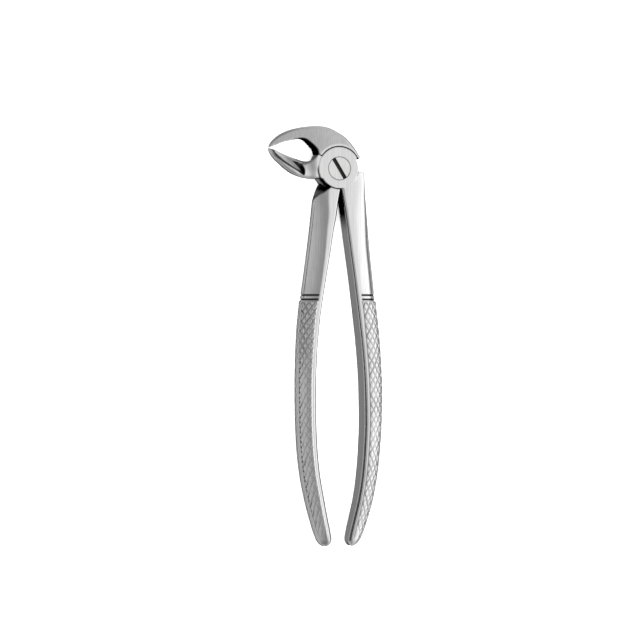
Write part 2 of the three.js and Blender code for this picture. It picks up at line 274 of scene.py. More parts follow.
def section(shank, x, y, z):
    """Field of a shank and handle.

    From the inner face outwards, front and back have a bevel, a flat band, a slightly domed facet turned
    outwards and a steeper side facet. Along the grip all but the bevel and the band melt into an oval.
    """
    inner = shank.inner(y)
    thick = np.abs(shank.outer(y) - inner)
    half = DEPTH(y) / 2
    band = np.minimum(BAND(y), thick * BAND_SHARE)
    shrink = end_shrink(y)
    u = shank.sign * (x - inner)
    u = (u - thick / 2) / shrink + thick / 2
    z = z / (END_DEPTH + (1 - END_DEPTH) * shrink)
    face = np.abs(z) - half
    turned = np.radians(shank.facet_turn(y))
    crown = shank.crown
    facet = np.hypot(u - band + crown * np.sin(turned), face + crown * np.cos(turned)) - crown
    outer = u - thick
    side = (np.abs(z) - shank.side_half(y)) * math.cos(shank.side_turn) + outer * math.sin(shank.side_turn)
    angular = both(both(both(face, facet, 0.15), side, shank.side_round), outer, 0.8)
    reach = thick - band
    oval = np.sqrt((np.maximum(u - band, 0) / reach) ** 2 + (z / half) ** 2)
    rounded = (oval - 1) * np.minimum(reach, half)
    rounding = smooth(-y, 49, 64) * shank.grip_oval
    blend = (1 - rounding) * angular + rounding * rounded
    bevel = (face + BEVEL(y)) * math.cos(BEVEL_TURN) - u * math.sin(BEVEL_TURN)
    return both(both(blend, bevel, 0.25), -u, 0.12)


# ---- the joint and the beaks ----------------------------------------------------------------------

BEAK_HALF = through([
    (-29.9, 0.5), (-29.4, 1.15), (-28.6, 1.65), (-27.8, 1.98), (-24.8, 2.8), (-21.5, 3.4), (-18, 3.85),
    (-13, 4.28), (-9.5, HALF), (-8, HALF),
])

# Half depth of the upper beak in front: it slants evenly from the tip to the hood
UPPER_HALF = through([
    (-29.9, 1.3), (-29, 1.6), (-27, 2.15), (-24.8, 2.75), (-20, 3.45), (-14, 4.12), (-9.5, 4.66),
    (-7, 4.95), (-2, 5.5),
])

HOOD_OUTLINE = [
    (-29.65, 8.0), (-29.3, 9.35), (-28.5, 10.75), (-27.3, 12.0), (-25.7, 13.3), (-24, 14.35), (-20.6, 15.8),
    (-17.2, 16.75), (-14, 17.3), (-11, 17.6), (-8.7, 17.68), (-5.7, 17.5), (-2.8, 16.7), (0.3, 15.1),
    (3.6, 12.95), (6.9, 9.15), (9.6, 5.0), (11.2, 1.8),
]
ARCH_RIM = [
    (-30.6, 8.24), (-29.3, 8.28), (-28.2, 8.75), (-26.8, 9.25), (-24.8, 9.95), (-21.6, 11.0), (-18.9, 11.7),
    (-16.3, 12.3), (-14.1, 12.0), (-12.1, 10.56), (-10.4, 8.97), (-9.3, 7.54), (-8.87, 5.9),
]
HEEL_END = [(14.0, 10.1), (9.6, 5.0), (8.35, 3.56)]
INSIDE_BOSS = [(7, 2), (0, -1), (-6, 2.5), (-7.55, 5.05)]  # closes the outline, hidden in the rear boss
# The hood's faces are level to this far outside the boss, and then fall away by so much in each millimetre
HOOD_LEVEL = 1.1
HOOD_FALL, HOOD_BACK_FALL = 0.19, 0.06
UPPER_FALL = 0.08  # the same for the upper beak's front face, outwards from UPPER_FALL_Y
UPPER_FALL_Y = 8
HOLLOW_DEPTH = 0.5
HOLLOW_END_X = -17.5


def boss_radius(angle):
    """Radius of the front boss, which stands a little proud where the hood and the lower beak meet it."""
    turn = (angle + 120) % 360 - 120
    wide = smooth(turn, 22, 34) * (1 - smooth(turn, 205, 214))
    return LOW_BOSS_R + (BOSS_R - LOW_BOSS_R) * wide


def room_radius(angle):
    """Radius of the front boss's room in the rear lever, which follows its rim all the way as it turns."""
    turn = (angle + 60) % 360 - 60
    wide = 1 - smooth(turn, 236, 242)
    return LOW_BOSS_R + SHOULDER_GAP + (BOSS_R - LOW_BOSS_R) * wide


def disc(b, radius, low, high, edge=EDGE):
    """Round plate about the hinge axis, from a field of its rim."""
    return both(radius, b.full(np.abs(b.z - (low + high) / 2) - (high - low) / 2), edge)


def hood(b):
    """Upper beak with the hood that runs on around the front boss, and the shade on the arch's wall."""
    arch = smooth_line(ARCH_RIM)
    side = b.plan(np.vstack([[(-34, 8.3), (-34, 26), (22, 26)], HEEL_END, INSIDE_BOSS, arch[::-1]]))
    outer = b.plan(np.vstack([smooth_line(HOOD_OUTLINE), [(14, -20), (-40, -20), (-32, 7.8)]]))
    # the front face falls away gently from the boss towards the outer contour, the back face less
    off_boss = np.maximum(b.r - BOSS_R - HOOD_LEVEL, 0)
    upper_front = UPPER_HALF(b.x) - UPPER_FALL * np.maximum(b.y - UPPER_FALL_Y, 0)
    front = lesser(upper_front, HALF - HOOD_FALL * off_boss, 0.5)
    rear = BEAK_HALF(b.x) - HOOD_BACK_FALL * off_boss
    share = smooth(b.z, -3, -1)
    half = np.minimum(front * share + rear * (1 - share), HALF)
    faces = b.true(np.abs(b.z) - half)
    # the outer edges are widely rounded, most of all at the tip, and the edges of the arch are sharper there
    body = both(b.full(outer), faces, b.full(half * (0.42 + 0.33 * smooth(-b.x, 16, 28))))
    body = both(body, b.full(side), EDGE - 0.18 * smooth(-b.x, 26, 28.5))
    # hollow along the inner face of the beak
    rim_y = through(ARCH_RIM[1:8])(b.x)
    reach = 0.72 * BEAK_HALF(b.x)
    depth = HOLLOW_DEPTH * smooth(b.x, -27.5, -23)
    radius = reach**2 / (2 * depth + 0.05) + depth / 2 + 0.3
    hollow = b.true(np.hypot(b.y - (rim_y + depth - radius), b.z) - radius)
    hollow = both(hollow, b.full(b.x - HOLLOW_END_X), 0.8)
    # painted shade on the wall of the arch
    shade = (1 - smooth(np.abs(b.full(side)), 0.25, 0.5)) * smooth(BEAK_HALF(b.x) - np.abs(b.z), 0.1, 0.4)
    shade = shade * smooth(b.x, -20.0, -18.5) * (b.y > 2) * (0.94 + 0.06 * smooth(b.z, -3.5, 3.5))
    return without(body, hollow, 0.2), shade


FAR_TOP = through([
    (-29.6, 8.18), (-28.8, 8.18), (-27.8, 8.25), (-24.8, 7.35), (-21.1, 5.76), (-16.75, 4.35), (-14.1, 3.39),
    (-12.6, 2.8), (-11.2, 2.6), (-10.2, 3.1), (-9.2, 5.0), (-8.6, 6.3), (-7.5, 7),
])
NEAR_TOP = through([
    (-29.6, 8.18), (-28.9, 8.1), (-27.8, 7.5), (-24.8, 4.6), (-21.7, 2.7), (-19.4, 1.7), (-16.8, 1.5),
    (-15.2, 1.9), (-13.4, 2.6), (-10.8, 4.0), (-8.87, 5.8), (-7.5, 6.6),
])
BEAK_BOTTOM = through([
    (-29.7, 7.6), (-29.4, 6.9), (-27.3, 3.9), (-25.1, 1.9), (-23.1, 0.1), (-18.9, -2.6), (-14.5, -4.0),
    (-10.4, -4.43), (-7, -4.3),
])
TOP_ROUND = through([
    (-29.6, 0.3), (-22, 0.4), (-18, 0.8), (-15, 1.1), (-13, 1.1), (-11, 0.7), (-9.4, 0.4), (-8, 0.3),
])
BACK_TOP_ROUND = 0.35
BOTTOM_ROUND = through([(-29.6, 0.9), (-27.8, 1.5), (-24.8, 2.4), (-21, 3.2), (-16, 4.1), (-9, 4.4)])
FRONT_BOTTOM_SHARE = 0.35  # the front bottom edge is rounded this much of the back one
TIP_X = -29.75
# The front face slants back towards the tip, by so much in each millimetre up to the reach
ROOT_X = -9.5
SLANT = 0.08
SLANT_REACH = 7
SINK = 0.75  # how far the front face sinks below the boss at the bottom of the root
# Trough ground into the inner face: its edge on the near side, its edge on the face, its depth
TROUGH_NEAR_Y = through([
    (-28.6, 8.3), (-27.8, 7.3), (-26.7, 5.3), (-24.8, 3.72), (-21.7, 1.64), (-19.4, 0.35), (-15.3, -2.0),
    (-14, -2.5),
])
TROUGH_NEAR_Z = through([
    (-28.6, 1.5), (-27.8, 1.8), (-24.8, 2.9), (-21.7, 3.6), (-19.4, 4.05), (-15.3, 4.3), (-14, 4.4),
])
TROUGH_FAR_Y = through([
    (-28.6, 8.6), (-27.8, 8.4), (-24.8, 6.9), (-21.7, 5.0), (-19.4, 3.5), (-17.2, 1.9), (-15.3, 0.1),
    (-14, -0.9),
])
TROUGH_FAR_Z = through([
    (-28.6, -1.0), (-27.8, -1.2), (-24.8, -1.9), (-21.7, -1.5), (-19.4, -0.9), (-15.3, 0.9), (-14, 1.4),
])
TROUGH_DEPTH = through([(-28.7, 0.2), (-27, 0.8), (-24.8, 1.4), (-21.7, 1.8), (-15, 1.9)])
TROUGH_END_X = -14.7
# Relief in the left shank: its straight edge on the front face and its edge on the back face
RELIEF_FRONT = ((-2.96, -7.63), (-9.2, -11.65))
RELIEF_BACK = through([(-18, -9.9), (-12.25, -9.2), (-8.8, -8.2), (-6.1, -6.7), (-2, -3.5)])


def bottom_round(x, z):
    """Rounding of the lower beak's bottom edges."""
    return BOTTOM_ROUND(x) * (FRONT_BOTTOM_SHARE + (1 - FRONT_BOTTOM_SHARE) * (z < 0))


def lower_beak(b):
    """Lower beak with its root on the boss, and where the trough in it lies in shade."""
    sink = SINK * smooth(-b.y, -1.6, 2.4) * smooth(b.x, -19, -10.5) * smooth(b.z, 0, 2)
    slant = SLANT * np.clip(ROOT_X - b.x, 0, SLANT_REACH)
    half = BEAK_HALF(b.x) - slant * smooth(b.z, 0, 1)
    far, near = FAR_TOP(b.x), NEAR_TOP(b.x)
    across = np.clip(b.z / half, -1.3, 1.3)
    top = b.true(b.y - (far + near) / 2 + (far - near) / 2 * across)
    faces = b.true(np.abs(b.z) + sink - half)
    bottom = b.true(BEAK_BOTTOM(b.x) - b.y)
    top_round = np.where(b.z > 0, TOP_ROUND(b.x), BACK_TOP_ROUND) - 0.15 * smooth(-b.x, 27.5, 29)
    body = both(top, faces, top_round)
    body = both(body, both(bottom, faces, bottom_round(b.x, b.z)), EDGE)
    body = both(body, b.full(TIP_X - b.x), 0.3)

    # the trough is a hollow arc across the chord between its two edges
    near_y, near_z = TROUGH_NEAR_Y(b.x), TROUGH_NEAR_Z(b.x) - slant
    far_y, far_z = TROUGH_FAR_Y(b.x), TROUGH_FAR_Z(b.x)
    chord = np.hypot(far_y - near_y, far_z - near_z)
    depth = TROUGH_DEPTH(b.x)
    radius = chord**2 / (8 * depth) + depth / 2
    up_y, up_z = (near_z - far_z) / chord, (far_y - near_y) / chord
    centre_y = (near_y + far_y) / 2 + (radius - depth) * up_y
    centre_z = (near_z + far_z) / 2 + (radius - depth) * up_z
    trough = b.true(np.hypot(b.y - centre_y, b.z - centre_z) - radius)
    trough = both(trough, b.full(b.x - TROUGH_END_X), 0.8)
    # painted shade in the trough, along its near side and at its end
    crossed = ((b.y - near_y) * (far_y - near_y) + (b.z - near_z) * (far_z - near_z)) / chord**2
    deepest = np.maximum(1 - smooth(crossed, 0.54, 0.9), smooth(b.x, -16.6, -15.3))
    shade = deepest * (1 - smooth(np.abs(trough), 0.15, 0.45)) * smooth(-top, -0.3, 0.1)
    return without(body, trough, 0.16), shade


def shank_relief(b):
    """Slanting hollow at the top of the left shank, and the room for the lower beak when it swings open."""
    (top_x, top_y), (low_x, low_y) = RELIEF_FRONT
    slant = math.atan2(top_y - low_y, top_x - low_x)
    at_front = (b.y - top_y) * math.cos(slant) - (b.x - top_x) * math.sin(slant)
    at_back = 0.9 * (RELIEF_BACK(b.y) - b.x)
    share = (b.z + HALF) / (2 * HALF)
    hollow = -b.true(at_back + (at_front - at_back) * share)
    turned_x = b.x * math.cos(OPEN) + b.y * math.sin(OPEN)
    turned_y = b.y * math.cos(OPEN) - b.x * math.sin(OPEN)
    under = b.true(BEAK_BOTTOM(turned_x) - turned_y)
    swing = both(under, b.true(np.abs(b.z) - BEAK_HALF(turned_x)), bottom_round(turned_x, b.z)) - SWING_ROOM
    # the rear boss and the hood stay whole
    swing = both(swing, b.full(BOSS_R + 0.03 - b.r), 0.05)
    return hollow, both(swing, b.full(b.y - SHANK_TOP_Y), 0.05)


def rear_lever_field(b):
    """Rear lever down into the shank, and how deep its points lie in shade."""
    boss = disc(b, b.full(b.r - BOSS_R), -HALF, -LAP)
    shank = both(b.full(section(LEFT, b.x, b.y, b.z)), b.full(b.y - SHANK_TOP_Y), EDGE)
    relief, swing = shank_relief(b)
    shank = without(shank, relief, 0.12)
    upper, shade = hood(b)
    body = either(either(boss, upper, 0.5), without(shank, swing, 0.05), 0.4)
    body = without(body, swing, 0.05)
    body = np.maximum(body, np.abs(b.z) - DEPTH(b.y) / 2)
    room = both(b.full(b.r - room_radius(b.angle)), b.full(-LAP - b.z), 0.1)
    body = without(body, room, 0.12)
    hole = b.r - PIN_R - PIN_ROOM
    countersink = b.r - PIN_R - 0.35 + (b.z + HALF)
    body = without(body, np.minimum(b.full(hole), countersink), 0.1)

    # painted shade in the relief and the swing room at the top of the left shank, lighter away from the
    # boss, and along the rim of the front boss's room
    inset = smooth(HALF - np.abs(b.z), 0.1, 0.5)
    hollow = (1 - smooth(np.abs(np.minimum(relief, swing)), 0.2, 0.6)) * inset * (b.y < SHANK_TOP_Y)
    hollow = hollow * (1 - 0.6 * smooth(b.r, 10.5, 14.5))
    shade = np.maximum(shade, hollow)
    shade = np.maximum(shade, (1 - smooth(np.abs(room), 0.05, 0.3)) * inset)
    return body, b.full(shade)


def front_lever_field(b):
    """Front lever down into the shank, and how deep its points lie in shade."""
    rim = b.true(b.r - boss_radius(b.angle))
    boss = disc(b, rim, LAP, HALF)
    shoulder = (b.y - SHOULDER_Y) + SHOULDER_SLOPE * (b.x - BOSS_R)
    shank = both(b.full(section(RIGHT, b.x, b.y, b.z)), b.full(shoulder), 0.35)
    beak, shade = lower_beak(b)
    beak = both(beak, b.full(b.x + 6), EDGE)
    above = b.full(b.y * math.cos(MEET_ANGLE) - b.x * math.sin(MEET_ANGLE))
    beak = without(beak, both(above, b.full(BOSS_R - b.r), 0.05), 0.2)
    body = either(either(boss, beak, 0.12), shank, 0.4)
    body = np.maximum(body, np.abs(b.z) - DEPTH(b.y) / 2)
    room = both(b.full(b.r - BOSS_R - SHOULDER_GAP), b.full(b.z - LAP), 0.1)
    body = without(body, room, 0.12)
    hole = b.full(b.r - PIN_R - PIN_ROOM)
    seat = both(b.full(b.r - HEAD_R - HEAD_ROOM), b.full(HALF - HEAD_H - 0.15 - b.z), 0.05)
    body = without(body, np.minimum(hole, seat), 0.08)

    # painted shade along the step at the front boss's rim, in the seat under the screw head and on the inner
    # face of the right shank up in the fork
    side = (1 - smooth(np.abs(b.r - boss_radius(b.angle)), 0.1, 0.4)) * smooth(HALF - b.z, 0.12, 0.4)
    shade = np.maximum(shade, side * (b.z > LAP))
    shade = np.maximum(shade, (b.r < HEAD_R + 0.3) & (b.z < HALF - 0.25))
    inner_face = (1 - smooth(b.x - RIGHT.inner(b.y), 0.1, 0.4)) * (b.y < -8) * smooth(HALF - b.z, 0.3, 0.7)
    return body, b.full(np.maximum(shade, inner_face))


def screw_field(b):
    """Screw with its slot, and where the slot lies in shade."""
    head = both(b.full(b.r - HEAD_R), b.full(np.abs(b.z - HALF + HEAD_H / 2) - HEAD_H / 2), 0.1)
    pin = both(b.full(b.r - PIN_R), b.full(np.abs(b.z) - HALF + 0.08), 0.35)
    across = -b.x * math.sin(SLOT_ANGLE) + b.y * math.cos(SLOT_ANGLE)
    slot = np.maximum(np.abs(across) - SLOT_W / 2, HALF - SLOT_DEPTH - b.z)
    # painted shade in the slot
    shade = (np.abs(across) < SLOT_W / 2 + 0.12) & (b.z < HALF - 0.2)
    return without(either(head, pin, 0.1), b.full(slot), 0.06), b.full(shade)


# ---- meshing --------------------------------------------------------------------------------------


def surface_net(b, field):
    """Quad mesh of a field's zero surface, one point to each cell that the surface crosses."""
    shape = np.array(field.shape)
    cells = shape - 1
    total = np.zeros((int(cells.prod()), 3))
    count = np.zeros(int(cells.prod()))
    crossings = []
    for axis in range(3):
        first = [slice(None)] * 3
        second = [slice(None)] * 3
        first[axis], second[axis] = slice(None, -1), slice(1, None)
        a, c = field[tuple(first)], field[tuple(second)]
        crossed = (a < 0) != (c < 0)
        index = np.argwhere(crossed)
        share = a[crossed] / (a[crossed] - c[crossed])
        place = index.astype(float)
        place[:, axis] += share
        one, two = (axis + 1) % 3, (axis + 2) % 3
        corners = []
        for d1, d2 in ((-1, -1), (0, -1), (0, 0), (-1, 0)):
            cell = index.copy()
            cell[:, one] += d1
            cell[:, two] += d2
            fits = np.all((cell >= 0) & (cell < cells), axis=1)
            flat = np.where(fits, np.ravel_multi_index(np.clip(cell, 0, cells - 1).T, cells), -1)
            for k in range(3):
                total[:, k] += np.bincount(flat[fits], place[fits, k], len(count))
            count += np.bincount(flat[fits], minlength=len(count))
            corners.append(flat)
        corners = np.array(corners).T
        whole = np.all(corners >= 0, axis=1)
        outward = a[crossed] < 0
        corners = np.where(outward[:, None], corners, corners[:, ::-1])
        crossings.append(corners[whole])
    used = np.flatnonzero(count)
    number = np.full(len(count), -1)
    number[used] = np.arange(len(used))
    points = b.low + total[used] / count[used, None] * b.step
    return points, number[np.vstack(crossings)]


def sample(b, arrays, points):
    """Values of grids at points, linear between grid points."""
    at = (points - b.low) / b.step
    shape = np.array(arrays[0].shape)
    base = np.clip(np.floor(at).astype(int), 0, shape - 2)
    part = np.clip(at - base, 0, 1)
    result = [np.zeros(len(points)) for _ in arrays]
    for i in (0, 1):
        for j in (0, 1):
            for k in (0, 1):
                weight = np.ones(len(points))
                for axis, bit in enumerate((i, j, k)):
                    weight *= part[:, axis] if bit else 1 - part[:, axis]
                for n, grid in enumerate(arrays):
                    result[n] += weight * grid[base[:, 0] + i, base[:, 1] + j, base[:, 2] + k]
    return result


def relax(b, field, points, quads, rounds=4, held=None):
    """Evens the mesh out along the surface and draws each point onto it."""
    gradient = np.gradient(field, b.step)
    edges = np.vstack([quads[:, [k, (k + 1) % 4]] for k in range(4)])
    ends = np.bincount(edges.ravel(), minlength=len(points))
    for turn in range(rounds + 1):
        if turn < rounds:
            pull = np.zeros_like(points)
            for k in range(3):
                pull[:, k] = np.bincount(edges[:, 0], points[edges[:, 1], k], len(points))
                pull[:, k] += np.bincount(edges[:, 1], points[edges[:, 0], k], len(points))
            pull = pull / np.maximum(ends, 1)[:, None] - points
        _, gx, gy, gz = sample(b, [field, *gradient], points)
        normal = np.stack([gx, gy, gz], 1)
        normal /= np.maximum(np.linalg.norm(normal, axis=1), 1e-9)[:, None]
        if turn < rounds:
            pull -= (pull * normal).sum(1)[:, None] * normal
            if held is not None:
                pull[held] = 0
            points = points + 0.5 * pull
        for _ in range(2):
            value, gx, gy, gz = sample(b, [field, *gradient], points)
            slope = np.stack([gx, gy, gz], 1)
            step = slope * (value / np.maximum((slope**2).sum(1), 0.05))[:, None]
            points = points - np.clip(step, -0.5 * b.step, 0.5 * b.step)
    return points


def boundary_loop(quads):
    """The points along the open edge of a mesh, in order, and how many points lie on open edges in all."""
    edges = np.vstack([quads[:, [k, (k + 1) % 4]] for k in range(4)])
    keys = {}
    for a, c in edges.tolist():
        keys[(a, c)] = keys.get((a, c), 0) + 1
    following = {}
    for a, c in keys:
        if (c, a) not in keys:
            following[c] = a
    start = next(iter(following))
    loop = [start]
    while following[loop[-1]] != start:
        loop.append(following[loop[-1]])
    return np.array(loop), len(following)


# ---- swept shank and grip -------------------------------------------------------------------------


OUTLINE_POINTS = 960
OUTLINE_REACH = 12.0  # farther from the middle of the section than its surface is anywhere
HALVINGS = 34
# Columns of a ring on half the inner face, over a bevel and over a band; the rest, the strip, is knurled
FACE_COLUMNS, BEVEL_COLUMNS, BAND_COLUMNS = 5, 9, 7
STRIP_GAP = 0.1  # between the band's last column and the strip's first one, and the band's edge
FINE_ROWS_TOP, FINE_ROW = -51.7, 0.13  # closer rows at the ring grooves
COARSE_ROW = 0.7
END_ROWS_Y = -152.6  # from here the rows draw together towards the handle's end
END_ROWS = 22


def hash_noise(a, c, seed):
    """Smooth noise from 0 to 1 on a plane."""
    ia, ic = np.floor(a).astype(int), np.floor(c).astype(int)
    fa, fc = a - ia, c - ic
    fa, fc = fa * fa * (3 - 2 * fa), fc * fc * (3 - 2 * fc)

    def corner(da, dc):
        n = (ia + da) * 374761393 + (ic + dc) * 668265263 + seed * 974634777
        n = (n ^ (n >> 13)) * 1274126177
        return ((n ^ (n >> 16)) & 0xFFFF) / 65535.0

    low = corner(0, 0) * (1 - fa) + corner(1, 0) * fa
    high = corner(0, 1) * (1 - fa) + corner(1, 1) * fa
    return low * (1 - fc) + high * fc


def sweep_rows():
    """Heights of the rings from the joint down to the handle's end."""
    row = DIAMOND_LENGTH / STEPS
    ys = list(np.arange(JOIN_Y - 0.25, FINE_ROWS_TOP + 0.1, -COARSE_ROW))
    ys += list(np.arange(FINE_ROWS_TOP, GRIP_TOP - 0.9, -FINE_ROW))
    ys += list(np.arange(ys[-1] - row * 0.7, END_ROWS_Y, -row))
    ys += list(END_Y + 4.5 * (1 - np.sin(np.linspace(0.02, math.pi / 2, END_ROWS))))
    return np.array(sorted(ys, reverse=True))


def outlines(shank, ys, centre):
    """Points around the section at each height, found by halving the way from the middle outwards."""
    angles = np.linspace(0, 2 * math.pi, OUTLINE_POINTS + 1)
    along_x = -shank.sign * np.cos(angles)[None, :]
    along_z = np.sin(angles)[None, :]
    near = np.zeros((len(ys), len(angles)))
    far = np.full(near.shape, OUTLINE_REACH)
    for _ in range(HALVINGS):
        middle = (near + far) / 2
        value = section(shank, centre[:, None] + middle * along_x, ys[:, None], middle * along_z)
        near = np.where(value < 0, middle, near)
        far = np.where(value < 0, far, middle)
    return centre[:, None] + near * along_x, near * along_z


def ring_along(shank, x, y, z, thick, t_strip):
    """One ring of points along an outline, with its columns on the right faces, and the strip's width.

    It starts in the middle of the inner face and runs over the front to the outer face and round the back.
    """
    arc = np.concatenate([[0], np.cumsum(np.hypot(np.diff(x), np.diff(z)))])
    u = shank.sign * (x - shank.inner(y))
    u = (u - thick / 2) / end_shrink(y) + thick / 2
    front = slice(0, OUTLINE_POINTS // 2 + 1)
    bevel_end = float(np.interp(BEVEL(y) * 1.15, u[front], arc[front]))
    band_end = float(np.interp(min(float(BAND(y)), thick * BAND_SHARE), u[front], arc[front]))
    face_end = max(float(arc[np.argmax(u[front] > 0.02)]), 0.05)
    whole = arc[-1]
    stops = np.concatenate([
        np.linspace(0, face_end, FACE_COLUMNS, endpoint=False),
        np.linspace(face_end, bevel_end, BEVEL_COLUMNS, endpoint=False),
        np.linspace(bevel_end, band_end - STRIP_GAP, BAND_COLUMNS),
        band_end + STRIP_GAP + (whole - 2 * band_end - 2 * STRIP_GAP) * t_strip,
    ])
    mirrored = whole - stops[1 : FACE_COLUMNS + BEVEL_COLUMNS + BAND_COLUMNS][::-1]
    stops = np.concatenate([stops, mirrored])
    ring = np.stack([np.interp(stops, arc, x), np.full(len(stops), y), np.interp(stops, arc, z)], 1)
    return ring, whole - 2 * band_end


def knurling(shank, y, t, from_edge):
    """How deep the diamond pattern is cut at places on the strip, from 0 to about 1."""
    along, across = y / DIAMOND_LENGTH, t[None, :] * DIAMONDS_ACROSS
    depth = np.zeros_like(y)
    for n, pattern in enumerate((along + across, along - across)):
        away = np.abs(pattern - np.round(pattern)) * GROOVE_PITCH
        strength = 0.5 + 0.9 * hash_noise(np.round(pattern) * 7.3, y / 11, shank.seed + 5 + n)
        if shank is LEFT:
            # its grip is more worn, above all lower down and in the second direction
            strength = strength * (0.85 - (0.45 + 0.15 * n) * smooth(-y, 68, 88))
        cut = np.clip(1 - away / GROOVE_HALF_WIDTH, 0, 1)
        depth = np.maximum(depth, strength * cut * cut * (3 - 2 * cut))
    wander = hash_noise(y / 9.0, t[None, :] * 3 + 0 * y, shank.seed)
    grip = smooth(-y, -GRIP_TOP + 0.1, -GRIP_TOP + 0.5)
    fade_end = 1 - smooth(-y, 148.5 - 2 * wander, 154.5)
    return depth * grip * fade_end * smooth(from_edge, 0.0, 0.35)


def sweep(shank):
    """Rings of points around the shank and grip, and how much shade is painted on each point: in the
    knurling, in the ring grooves and on the inner face up in the fork.
    """
    ys = sweep_rows()
    thick = np.abs(shank.outer(ys) - shank.inner(ys))
    centre = shank.inner(ys) + shank.sign * thick * 0.5
    xs, zs = outlines(shank, ys, centre)
    t_strip = np.linspace(0, 1, DIAMONDS_ACROSS * STEPS + 1)
    made = [ring_along(shank, *row, t_strip) for row in zip(xs, ys, zs, thick)]
    rings = np.array([ring for ring, _ in made])
    width = np.array([w for _, w in made])[:, None]
    lead = FACE_COLUMNS + BEVEL_COLUMNS + BAND_COLUMNS
    t = np.full(rings.shape[1], -1.0)
    t[lead : lead + len(t_strip)] = t_strip

    # normals of the smooth surface, for cutting the grooves inwards
    around = np.roll(rings, -1, axis=1) - np.roll(rings, 1, axis=1)
    normal = np.cross(around, np.gradient(rings, axis=0))
    normal /= np.maximum(np.linalg.norm(normal, axis=2), 1e-9)[:, :, None]
    outward = rings - np.stack([centre, ys, np.zeros(len(ys))], 1)[:, None, :]
    normal *= np.sign((normal * outward).sum(2).mean())

    y = ys[:, None] * np.ones_like(t)[None, :]
    from_edge = np.where((t >= 0)[None, :], np.minimum(t, 1 - t)[None, :] * width, -1)
    side = smooth(from_edge, -0.02, 0.3)
    knurl = knurling(shank, y, t, from_edge)
    ring_cut = np.zeros_like(y)
    for groove_and_painted_shade in RING_GROOVES:
        ring_cut = np.maximum(ring_cut, 1 - smooth(np.abs(y - groove_and_painted_shade), 0.12, 0.5))
    proud = GRIP_RISE * smooth(-y, -GRIP_TOP - 0.12, -GRIP_TOP + 0.12)
    proud = proud * (1 - smooth(-y, -GRIP_END, -GRIP_END + 6))
    offset = proud * side - GROOVE_DEPTH * knurl - RING_DEPTH * ring_cut * side
    rings = rings + normal * offset[:, :, None]

    # the inner face of the right shank lies in shade up in the fork
    column = np.arange(len(t))
    on_face = (column < FACE_COLUMNS) | (column > len(t) - FACE_COLUMNS)
    fork = smooth(y, -27.0, -17.0) * on_face[None, :] * (shank is RIGHT)
    # painted shade: half the knurl's depth, the ring grooves and the fork
    return rings, np.maximum(np.maximum(0.5 * knurl, ring_cut * side), fork)


def zip_loops(upper, lower, points, centre):
    """Triangles between two loops of point numbers around the same section."""

    def by_angle(loop):
        angle = np.arctan2(points[loop][:, 2], points[loop][:, 0] - centre)
        order = np.argsort(angle)
        return np.array(loop)[order], angle[order]

    a, angle_a = by_angle(upper)
    c, angle_c = by_angle(lower)
    faces = []
    i = j = 0
    while i < len(a) or j < len(c):
        next_a = angle_a[(i + 1) % len(a)] + 2 * math.pi * ((i + 1) // len(a))
        next_c = angle_c[(j + 1) % len(c)] + 2 * math.pi * ((j + 1) // len(c))
        here, there = a[i % len(a)], c[j % len(c)]
        if j >= len(c) or (i < len(a) and next_a < next_c):
            faces.append((here, there, a[(i + 1) % len(a)]))
            i += 1
        else:
            faces.append((here, there, c[(j + 1) % len(c)]))
            j += 1
    return faces


def make_object(name, points, faces, groove_and_painted_shade, body, node, material):
    """Smooth object from points in mm about the pivot, with painted shade on its points, riding on a body in
    place of a CAD node.
    """
    mesh = bpy.data.meshes.new(name)
    mesh.from_pydata((np.array(points) * MM + np.array(PIVOT)).tolist(), [], faces)
    mesh.validate()
    mesh.update()
    # painted shade on each point, from 0 to 1, by which the material darkens the steel
    attribute = mesh.attributes.new("groove_and_painted_shade", "FLOAT", "POINT")
    attribute.data.foreach_set("value", np.asarray(groove_and_painted_shade, np.float32))
    mesh.polygons.foreach_set("use_smooth", [True] * len(mesh.polygons))
    obj = bpy.data.objects.new(name, mesh)
    bpy.context.scene.collection.objects.link(obj)
    mesh.materials.append(material)
    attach(obj, body)
    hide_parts(node)
    return obj


def lever(name, field_of, high, shank, material):
    """One lever as a single closed skin: the meshed joint and beak, and the swept shank zipped onto it."""
    b = Box(MESH_LOW, high, VOXEL)
    field, shade = field_of(b)
    points, quads = surface_net(b, field)
    loop, count = boundary_loop(quads)
    assert len(loop) == count, (name, len(loop), count)
    points = relax(b, field, points, quads, held=loop)
    points[loop, 1] = JOIN_Y

    rings, groove_and_painted_shade = sweep(shank)
    rows, columns = groove_and_painted_shade.shape
    number = len(points) + np.arange(rows * columns).reshape(rows, columns)
    # painted shade on every point: sampled from the field's shade grid at the joint, and the sweep's on the
    # shank
    values = np.concatenate([sample(b, [shade], points)[0], groove_and_painted_shade.ravel()])
    points = np.vstack([points, rings.reshape(-1, 3)])
    faces = quads.tolist()
    for upper, lower in zip(number[:-1], number[1:]):
        faces += np.stack([upper, lower, np.roll(lower, -1), np.roll(upper, -1)], 1).tolist()
    centre = (shank.inner(JOIN_Y) + shank.outer(JOIN_Y)) / 2
    faces += zip_loops(loop.tolist(), number[0].tolist(), points, centre)
    faces.append(number[-1].tolist())
    obj = make_object(name + "_forging", points, faces, values, name, name, material)

    bm = bmesh.new()
    bm.from_mesh(obj.data)
    bmesh.ops.recalc_face_normals(bm, faces=bm.faces)
    bm.to_mesh(obj.data)
    bm.free()


# ---- materials ------------------------------------------------------------------------------------


SHADE_COLOUR = 0.04  # share of its colour that steel keeps where shade is painted into it, in grooves and shaded recesses
SHADE_TINT = 0.1  # and of its shine at a glancing angle
CLOUD_SIZE = 0.22  # the broad change in colour, as a share of the fine lines' scale
CLOUD_COLOUR = 0.86
LINE_BUMP = 0.00012  # metres


def node(tree, kind, **sockets):
    """New node with some of its inputs set."""
    made = tree.nodes.new(kind)
    for key, value in sockets.items():
        made.inputs[key.replace("_", " ")].default_value = value
    return made


